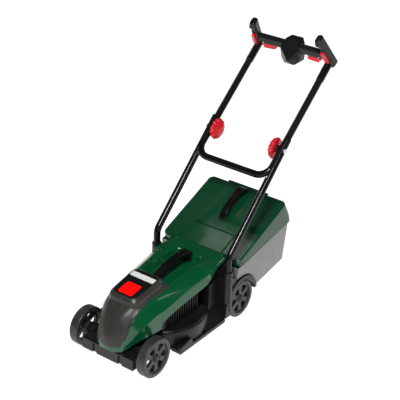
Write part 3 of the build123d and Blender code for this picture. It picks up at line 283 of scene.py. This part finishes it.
def half_outline(stations, distance, crown):
    """Half outline at a distance behind the front axle, ending on the centre line."""
    marks = [mark for mark, _ in stations]
    half = []
    for k in range(len(stations[0][1])):
        x = curve_value(marks, [points[k][0] for _, points in stations], distance)
        z = curve_value(marks, [points[k][1] for _, points in stations], distance)
        half.append(Vector((x, z)))
    half.append(Vector((0.0, half[-1].y + crown)))
    return half


def rounded(points, cuts, steps=5):
    """Corners turned into short curves; every outline gives the same count of points."""
    out = [points[0]]
    for a, b, c, cut in zip(points, points[1:], points[2:], cuts):
        start = b + (a - b).normalized() * min(cut, 0.48 * (b - a).length)
        end = b + (c - b).normalized() * min(cut, 0.48 * (c - b).length)
        for k in range(steps + 1):
            u = k / steps
            out.append(start * (1 - u) ** 2 + b * (2 * u * (1 - u)) + end * u * u)
    out.append(points[-1])
    return out


def split_run(points, index, count):
    """Add evenly spaced points to the run that ends at this index."""
    a, b = points[index - 1], points[index]
    extra_points = [a.lerp(b, k / count) for k in range(1, count)]
    return points[:index] + extra_points + points[index:]


def smoothstep(value):
    """0 below 0, 1 above 1, and an easy slope between."""
    v = max(0.0, min(1.0, value))
    return v * v * (3 - 2 * v)


def tube(name, rings, joined=False):
    """Mesh through closed rings of points: flat ends, or the last ring joined to the first."""
    bm = bmesh.new()
    rows = [[bm.verts.new(p) for p in ring] for ring in rings]
    following = rows[1:] + rows[:1] if joined else rows[1:]
    for lower, upper in zip(rows, following):
        for i in range(len(lower)):
            j = (i + 1) % len(lower)
            bm.faces.new((lower[i], lower[j], upper[j], upper[i]))
    if not joined:
        bm.faces.new(rows[0])
        bm.faces.new(list(reversed(rows[-1])))
    return from_bmesh(name, bm)


def skin(name, rows):
    """Open sheet through rows that run from side to side, with a face across each end row."""
    bm = bmesh.new()
    grid = [[bm.verts.new(p) for p in row] for row in rows]
    for lower, upper in zip(grid, grid[1:]):
        for i in range(len(lower) - 1):
            bm.faces.new((lower[i], lower[i + 1], upper[i + 1], upper[i]))
    bm.faces.new(grid[0])
    bm.faces.new(list(reversed(grid[-1])))
    return from_bmesh(name, bm)


def whole_row(half, distance):
    """Both sides of a half outline as points in metres."""
    left = [at(-p.x, distance, p.y) for p in half]
    return left + [at(p.x, distance, p.y) for p in reversed(half[:-1])]


HOOD_STATIONS = [
    (-43, [(17, 46), (18, 54), (15, 66), (8, 77)]),
    (-34, [(36, 50), (34, 61), (27, 84), (14, 96)]),
    (-18, [(45, 57), (47, 71), (37, 104), (20, 119)]),
    (0, [(54, 65), (56.5, 92), (44, 121), (26, 134)]),
    (20, [(64, 72), (64.8, 106), (50, 132), (32, 145)]),
    (56, [(72, 76), (70.6, 117.5), (56.5, 141.3), (42, 152)]),
    (60, [(75, 94), (71, 118), (57, 141.6), (43, 153)]),
    (138, [(81, 113.5), (76, 134.5), (62, 147.5), (46, 155)]),
    (205, [(85, 125), (80, 144), (66, 152.5), (50, 157)]),
    (220, [(86, 139), (81, 149), (67, 155), (52, 157)]),
    (245, [(82, 148), (79, 153.5), (69, 156), (54, 157)]),
    (281, [(77, 150), (74, 154.5), (68, 156.5), (54, 157)]),
]
WELL_FLOOR = 138.6
WELL_FRONT = 106.0
WELL_REAR = 252.0
WELL_WALL = 11.0
WELL_HALF = 46.0
WELL_NARROWING = 5.0
WELL_CORNER = 24.0
WELL_REACH = 50.0


def well_depth(x, distance):
    """How far into the carry handle's well a point lies, from 0 on the rim to 1 on the floor."""
    half = WELL_HALF - WELL_NARROWING * (distance - WELL_FRONT) / (WELL_REAR - WELL_FRONT)
    side = half - abs(x)
    end = WELL_REAR - distance
    if side < WELL_CORNER and end < WELL_CORNER:
        inside = WELL_CORNER - sqrt((WELL_CORNER - side) ** 2 + (WELL_CORNER - end) ** 2)
    else:
        inside = min(side, end)
    return smoothstep(inside / WELL_WALL)


HOOD_FRONT = -43.0
HOOD_LENGTH = 324.0
HOOD_ROWS = 240
HOOD_CROWN = 1.6
HOOD_WALL = 2.4
hood_rows = []
for step in range(HOOD_ROWS + 1):
    distance = HOOD_FRONT + HOOD_LENGTH * step / HOOD_ROWS
    half = half_outline(HOOD_STATIONS, distance, HOOD_CROWN)
    half = rounded(half, (1.6, 9.0, 12.0))
    half = split_run(half, len(half) - 1, 34)
    if distance > WELL_FRONT:
        for p in half:
            if p.x < WELL_REACH:
                depth = well_depth(p.x, distance)
                p.y = p.y * (1 - depth) + min(p.y, WELL_FLOOR) * depth
    hood_rows.append(whole_row(half, distance))
hood_skin = skin("hood_shell", hood_rows)
shell = hood_skin.modifiers.new("wall", "SOLIDIFY")
shell.thickness = HOOD_WALL * MM
shell.offset = -1.0
bake(hood_skin)
smooth(hood_skin, 34.0)
stand_in(hood_skin, "hood")

# ---------------------------------------------------------------- bumper webs and hinge lugs


def block(name, centre, half_size, radius, body, slot):
    """Small rounded block of moulded plastic."""
    bm = bmesh.new()
    bmesh.ops.create_cube(bm, size=2.0)
    for v in bm.verts:
        v.co = Vector(v.co[k] * half_size[k] * MM for k in range(3)) + centre
    bmesh.ops.bevel(bm, geom=bm.edges[:], offset=radius * MM, segments=4, affect="EDGES", clamp_overlap=True)
    obj = from_bmesh(name, bm)
    smooth(obj, 40.0)
    extra(obj, body, slot)


def knuckle(name, x_from, x_to, radius, body, slot):
    """Round hinge knuckle on the flap's axis."""
    low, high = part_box("flap_pin")
    centre = (low + high) / 2
    bm = bmesh.new()
    bmesh.ops.create_cone(
        bm, cap_ends=True, segments=40, radius1=radius * MM, radius2=radius * MM, depth=(x_to - x_from) * MM
    )
    bmesh.ops.rotate(bm, verts=bm.verts, matrix=Matrix.Rotation(pi / 2, 3, "Y"))
    bmesh.ops.translate(bm, verts=bm.verts, vec=Vector(((x_from + x_to) / 2 * MM, centre.y, centre.z)))
    rim = [e for e in bm.edges if e.calc_face_angle(0) > 0.8]
    bmesh.ops.bevel(bm, geom=rim, offset=0.7 * MM, segments=2, affect="EDGES")
    obj = from_bmesh(name, bm)
    smooth(obj, 40.0)
    extra(obj, body, slot)


BUMPER_SLOT_X = 36.0
BUMPER_SLOT_DISTANCE = -36.9
BUMPER_SLOT_HEIGHT = 31.5
WEB_HALF = (7.0, 1.4, 11.2)
LUG_IN = 57.0
LUG_OUT = 70.0
LUG_RADIUS = 4.6
for side, sign in (("left", -1), ("right", 1)):
    web_centre = at(sign * BUMPER_SLOT_X, BUMPER_SLOT_DISTANCE, BUMPER_SLOT_HEIGHT)
    block(f"bumper_web_{side}", web_centre, WEB_HALF, 0.5, "chassis", "black_plastic")
    near, far = sorted((sign * LUG_IN, sign * LUG_OUT))
    knuckle(f"hinge_lug_{side}", near, far, LUG_RADIUS, "chassis", "green_plastic")

# ---------------------------------------------------------------- nose cover and carry handles


def join(name, *objects):
    """Several meshes as one."""
    bm = bmesh.new()
    for obj in objects:
        bm.from_mesh(obj.data)
        bpy.data.objects.remove(obj)
    return from_bmesh(name, bm)


def melt(obj, voxel, rounds):
    """Fuse overlapping solids and round their edges a little."""
    remesh = obj.modifiers.new("fuse", "REMESH")
    remesh.mode = "VOXEL"
    remesh.voxel_size = voxel * MM
    ease = obj.modifiers.new("ease", "SMOOTH")
    ease.factor = 0.5
    ease.iterations = rounds
    bake(obj)
    smooth(obj, 60.0)
    return obj


def cut(obj, cutter):
    """Take a cutter's volume away from an object."""
    boolean = obj.modifiers.new("cut", "BOOLEAN")
    boolean.operation = "DIFFERENCE"
    boolean.solver = "EXACT"
    boolean.object = cutter
    bake(obj)
    bpy.data.objects.remove(cutter)
    return obj


def prism(name, outline, place, depth):
    """Closed outline given in a plane's own axes, drawn out both ways across it."""
    bm = bmesh.new()
    lower = [bm.verts.new(place @ Vector((u * MM, v * MM, -depth * MM))) for u, v in outline]
    upper = [bm.verts.new(place @ Vector((u * MM, v * MM, depth * MM))) for u, v in outline]
    bm.faces.new(list(reversed(lower)))
    bm.faces.new(upper)
    for i in range(len(outline)):
        j = (i + 1) % len(outline)
        bm.faces.new((lower[i], lower[j], upper[j], upper[i]))
    return from_bmesh(name, bm)


# Nose cover: its body follows the hood, standing just proud of it, under a raised cap.
COVER_STATIONS = [
    (-45.5, [(5, 57), (8, 60), (8, 67), (4, 72)]),
    (-44, [(11, 55), (15, 59), (13.5, 69), (7, 78)]),
    (-41, [(17, 55), (23, 60), (19.5, 74), (10, 85)]),
    (-34, [(29, 58), (33.6, 62), (28.6, 85.5), (15, 98)]),
    (-18, [(36, 90), (41.8, 92.5), (38.4, 105.2), (21, 121)]),
    (0, [(38, 117), (44, 121.5), (38, 126.5), (27, 136)]),
    (20, [(41, 132), (46.5, 135.6), (41, 140), (33, 147)]),
    (56, [(44, 143), (49.5, 148.2), (46, 150.3), (40, 154)]),
    (108, [(48, 146), (53, 151), (50, 153.2), (44, 156.5)]),
]
COVER_FRONT = -45.5
COVER_ROWS = 103
COVER_STEP = 1.5
COVER_CROWN = 1.2
cover_rows = []
for step in range(COVER_ROWS):
    distance = COVER_FRONT + COVER_STEP * step
    half = rounded(half_outline(COVER_STATIONS, distance, COVER_CROWN), (1.0, 3.0, 8.0), 4)
    cover_rows.append(whole_row(half, distance))
nose_body = tube("nose_body", cover_rows)

# The label panel climbs this far over this run, towards the hood.
PANEL_CLIMB = 14.5
PANEL_RUN = 88.0
PANEL_SHIFT = 0.4
panel_low, panel_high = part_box("label_panel")
panel_rise = atan2(PANEL_CLIMB, PANEL_RUN)
panel_y = (panel_low.y + panel_high.y) / 2 + PANEL_SHIFT * MM
panel_centre = Vector((0, panel_y, (panel_low.z + panel_high.z) / 2))
panel_frame = Matrix.Translation(panel_centre) @ Matrix.Rotation(panel_rise, 4, "X")


def panel_outline(grow, corner):
    """Round-cornered outline of the label panel, a little wider towards the hood."""
    front, rear, half_long = 31.0 + grow, 35.0 + grow, 43.0 + grow
    corners = [(0, -half_long), (front, -half_long), (rear, half_long)]
    corners += [(-rear, half_long), (-front, -half_long)]
    corners = [Vector(c) for c in corners]
    return rounded(corners + corners[:1], (corner,) * 4, 7)[:-1]


# Raised cap: each ring's height over the panel's middle, and how far it stands outside the panel.
CAP_RINGS = ((0.0, 0.6), (-0.3, 1.2), (-0.8, 2.0), (-5.6, 7.6), (-6.2, 8.2), (-7.0, 8.6), (-26.0, 11.6))
PANEL_CORNER = 14.0
cap_rings = []
for height, grow in CAP_RINGS:
    outline = panel_outline(grow, PANEL_CORNER + grow)
    cap_rings.append([panel_frame @ Vector((u * MM, v * MM, height * MM)) for u, v in outline])
nose_cap = tube("nose_cap", cap_rings)
nose = melt(join("nose_moulding", nose_body, nose_cap), 0.8, 3)
stand_in(nose, "nose_cover")

for node in ("hood_handle", "grass_box_handle"):
    handle_piece = melt(clean_copy(node, node + "_moulded"), 0.8, 6)
    stand_in(handle_piece, node)

# ---------------------------------------------------------------- grips and switch box

HORN_BASE = (103.0, 645.0, 532.0)
HORN_TOP = (90.0, 596.0, 600.0)


def horn_frame(sign):
    """Axes of a grip's horn: to the rear, up along it, and across it."""
    base = at(sign * HORN_BASE[0], HORN_BASE[1], HORN_BASE[2])
    along = (at(sign * HORN_TOP[0], HORN_TOP[1], HORN_TOP[2]) - base).normalized()
    rear = Vector((0, along.z, -along.y)).normalized()
    across = rear.cross(along)
    return Matrix.Translation(base) @ Matrix((rear, along, across)).transposed().to_4x4()


BEAK = [(-9, 62.5), (-12.6, 65), (-14.4, 69), (-14.0, 74), (-11.5, 79.5), (-7, 83.5), (0, 84.5), (0, 62)]
NOTCH = [(-15.6 + 8.4 * cos(pi * k / 12), 56 + 8.4 * sin(pi * k / 12)) for k in range(24)]
TRIGGER_POCKET = [(-24, 10.7), (-24, 47.4), (0.3, 47.4), (0.3, 10.7)]
NOTCH_DEPTH = 20.0
BEAK_DEPTH = 6.6
POCKET_DEPTH = 4.7
for side, sign in (("left", -1), ("right", 1)):
    place = horn_frame(sign)
    grip = clean_copy(f"grip_{side}", f"grip_{side}_body")
    grip = cut(grip, prism("notch", NOTCH, place, NOTCH_DEPTH))
    beak = prism("beak", BEAK, place, BEAK_DEPTH)
    grip = melt(join(f"grip_{side}_moulded", grip, beak), 0.65, 5)
    grip = cut(grip, prism("pocket", TRIGGER_POCKET, place, POCKET_DEPTH))
    smooth(grip, 45.0)
    stand_in(grip, f"grip_{side}")

CASE_MIDDLE = 636.0
CASE_SPLIT = 633.0
CASE_GAP = 0.15
CASE_TIP = (-24, 516)
CASE_CORNERS = [
    (15, -10, 568),
    (16, 18, 568),
    (27, -16, 545),
    (28, 12, 547),
    (16, 23, 542),
    (27, -8, 517),
    (27, 10, 517),
    (14, 22, 517),
    (14, -14, 506),
    (14, 14, 506),
]


def case_half(name, keep_front):
    """Front or rear half of the faceted switch box, split down the middle of the bar."""
    bm = bmesh.new()
    for x, deep, z in CASE_CORNERS:
        for sign in (-1, 1):
            bm.verts.new(at(sign * x, CASE_MIDDLE + deep, z))
    bm.verts.new(at(0, CASE_MIDDLE + CASE_TIP[0], CASE_TIP[1]))
    hull = bmesh.ops.convex_hull(bm, input=bm.verts[:])
    bmesh.ops.delete(bm, geom=hull["geom_unused"] + hull["geom_interior"], context="VERTS")
    bmesh.ops.dissolve_limit(bm, angle_limit=radians(4), verts=bm.verts, edges=bm.edges)
    bmesh.ops.bevel(bm, geom=bm.edges[:], offset=1.1 * MM, segments=3, affect="EDGES", clamp_overlap=True)
    seam = CASE_GAP if keep_front else -CASE_GAP
    centre = at(0, CASE_SPLIT - seam, 0)
    whole = bm.verts[:] + bm.edges[:] + bm.faces[:]
    away = {"clear_outer": keep_front, "clear_inner": not keep_front}
    bmesh.ops.bisect_plane(bm, geom=whole, plane_co=centre, plane_no=(0, 1, 0), **away)
    bmesh.ops.holes_fill(bm, edges=[e for e in bm.edges if e.is_boundary])
    obj = from_bmesh(name, bm)
    smooth(obj, 30.0)
    return obj


stand_in(case_half("switch_case_front", True), "switch_box_front")
stand_in(case_half("switch_case_rear", False), "switch_box_rear")

# ---------------------------------------------------------------- fold knobs

FLUTES = 12
FLUTE_INSET = 0.085
FLUTE_DROP = 0.055
KNOB_POINTS = 240


def knob_mesh(node, name):
    """Domed knob with scalloped rim and raised ribs running in from it."""
    low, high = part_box(node)
    centre = (low + high) / 2
    sign = 1 if centre.x > 0 else -1
    base_x = high.x if sign > 0 else low.x
    radius = (high.z - low.z) / 2
    dome = high.x - low.x
    profile = [(0.30, 0.0), (0.90, 0.02), (0.97, 0.08), (1.0, 0.18), (1.0, 0.30), (0.975, 0.40)]
    profile += [(0.93, 0.48), (0.84, 0.60), (0.72, 0.72), (0.60, 0.81), (0.46, 0.90), (0.34, 0.955)]
    profile += [(0.27, 0.99), (0.22, 1.0), (0.12, 1.0)]
    rings = []
    for r, h in profile:
        ring = []
        for k in range(KNOB_POINTS):
            angle = 2 * pi * k / KNOB_POINTS
            wave = 0.5 + 0.5 * cos(FLUTES * angle)
            scallop = smoothstep((r - 0.30) / 0.6) * (1 - wave) ** 1.5
            reach = radius * r * (1 - FLUTE_INSET * scallop)
            drop = FLUTE_DROP * dome * scallop * smoothstep((h - 0.1) * 4)
            x = base_x - sign * (dome * h - drop)
            ring.append(Vector((x, centre.y + reach * cos(angle), centre.z + reach * sin(angle))))
        rings.append(ring)
    obj = tube(name, rings)
    smooth(obj, 50.0)
    return obj


for side in ("left", "right"):
    stand_in(knob_mesh(f"fold_knob_{side}", f"knob_{side}_moulded"), f"fold_knob_{side}")

# ---------------------------------------------------------------- hub caps

CAP_PROFILE = [(4.2, 0), (4.7, -0.5), (4.7, -1.6), (7.0, -1.6), (7.0, -0.4)]
CAP_PROFILE += [(7.3, -0.1), (7.8, -0.2), (8.4, -0.9), (8.4, -3)]
CAP_POINTS = 64
# Profile of a black ring set low in each cap's recessed ring: painted shade standing in for the shadow in the
# recess.
SHADE_RING_PROFILE = [(4.75, -1.2), (6.95, -1.2), (6.95, -1.5), (4.75, -1.5)]


def turned(name, node, profile, joined=False):
    """Profile of radius and height over a hub cap's face, turned about the wheel's axis."""
    low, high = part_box(node)
    centre = (low + high) / 2
    sign = 1 if centre.x > 0 else -1
    face = high.x if sign > 0 else low.x
    angles = [2 * pi * k / CAP_POINTS for k in range(CAP_POINTS)]
    rings = []
    for r, height in profile:
        x = face + sign * height * MM
        rings.append([(x, centre.y + r * MM * cos(t), centre.z + r * MM * sin(t)) for t in angles])
    obj = tube(name, rings, joined)
    smooth(obj, 40.0)
    return obj


for node in [name for name in nodes if name.startswith("hub_cap_")]:
    stand_in(turned(node + "_turned", node, CAP_PROFILE), node)
    # The black ring is painted shade in the cap's recess, not a separate part of the wheel.
    shade_ring = turned(node + "_groove", node, SHADE_RING_PROFILE, joined=True)
    extra(shade_ring, body_of[node], "black_plastic")

# ---------------------------------------------------------------- floor, light and camera

bpy.ops.mesh.primitive_plane_add(size=12, location=(0, 0, 0))
floor = bpy.context.object
floor.name = "floor"
floor_material = bpy.data.materials.new("floor")
floor_material.use_nodes = True
floor_shader = floor_material.node_tree.nodes["Principled BSDF"]
floor_shader.inputs["Base Color"].default_value = (0.3, 0.3, 0.3, 1)
floor_shader.inputs["Roughness"].default_value = 0.9
floor_shader.inputs["Emission Color"].default_value = (1, 1, 1, 1)
floor_shader.inputs["Emission Strength"].default_value = 1.0
assign(floor, floor_material)


def softbox(name, location, target, size, radiance):
    """Flat panel of light aimed at a point, its brightness the same whatever its size."""
    data = bpy.data.lights.new(name, "AREA")
    data.shape = "RECTANGLE"
    data.size = size[0]
    data.size_y = size[1]
    data.energy = radiance * pi * size[0] * size[1]
    light = bpy.data.objects.new(name, data)
    bpy.context.scene.collection.objects.link(light)
    light.location = location
    light.rotation_euler = (Vector(target) - Vector(location)).to_track_quat("-Z", "Y").to_euler()


softbox("key", (0.7, -1.5, 2.2), (0, 0.1, 0.3), (0.6, 0.6), 68.0)
softbox("flap", (-0.925, 0.32, 1.9), (-0.925, 0.32, 0), (0.25, 0.09), 2.6)
softbox("bevel", (1.36, 0.87, 1.2), (0.04, -0.25, 0.16), (0.3, 0.3), 3.0)
softbox("side", (2.6, 0.2, 0.22), (0, 0, 0.15), (1.2, 0.4), 2.2)
softbox("wheels", (1.6, -1.9, 0.8), (0, 0, 0.1), (0.9, 0.6), 2.0)
softbox("back", (0.9, 2.5, 1.9), (0, 0.1, 0.3), (0.6, 0.6), 8.0)
softbox("left", (-2.2, 0.6, 1.2), (0, 0, 0.2), (0.9, 0.9), 3.0)

# The studio is dim in reflections and plain white where the camera looks past the floor.
world = bpy.data.worlds.new("studio")
world.use_nodes = True
tree = world.node_tree
surround = tree.nodes["Background"]
surround.inputs["Color"].default_value = (1, 1, 1, 1)
surround.inputs["Strength"].default_value = 0.03
backdrop = tree.nodes.new("ShaderNodeBackground")
backdrop.inputs["Color"].default_value = (1, 1, 1, 1)
rays = tree.nodes.new("ShaderNodeLightPath")
seen = tree.nodes.new("ShaderNodeMixShader")
tree.links.new(rays.outputs["Is Camera Ray"], seen.inputs[0])
tree.links.new(surround.outputs[0], seen.inputs[1])
tree.links.new(backdrop.outputs[0], seen.inputs[2])
tree.links.new(seen.outputs[0], tree.nodes["World Output"].inputs["Surface"])
bpy.context.scene.world = world
bpy.context.scene.view_settings.view_transform = "Standard"

CAMERA = at(1362.5, -1583.68, 1503.3)
CAMERA_TURN = radians(36.15)
CAMERA_DROP = radians(27.94)
CAMERA_ROLL = radians(1.84)
level_reach = cos(CAMERA_DROP)
look = Vector((-sin(CAMERA_TURN) * level_reach, cos(CAMERA_TURN) * level_reach, -sin(CAMERA_DROP)))
level = Vector((cos(CAMERA_TURN), sin(CAMERA_TURN), 0))
upright = level.cross(look)
right = level * cos(CAMERA_ROLL) + upright * sin(CAMERA_ROLL)
up = upright * cos(CAMERA_ROLL) - level * sin(CAMERA_ROLL)
camera_data = bpy.data.cameras.new("camera")
camera_data.sensor_width = 36.0
camera_data.lens = 104.09
camera_data.clip_end = 50.0
camera = bpy.data.objects.new("camera", camera_data)
bpy.context.scene.collection.objects.link(camera)
turn = Matrix((right, up, -look)).transposed().to_4x4()
camera.matrix_world = Matrix.Translation(CAMERA) @ turn
bpy.context.scene.camera = camera
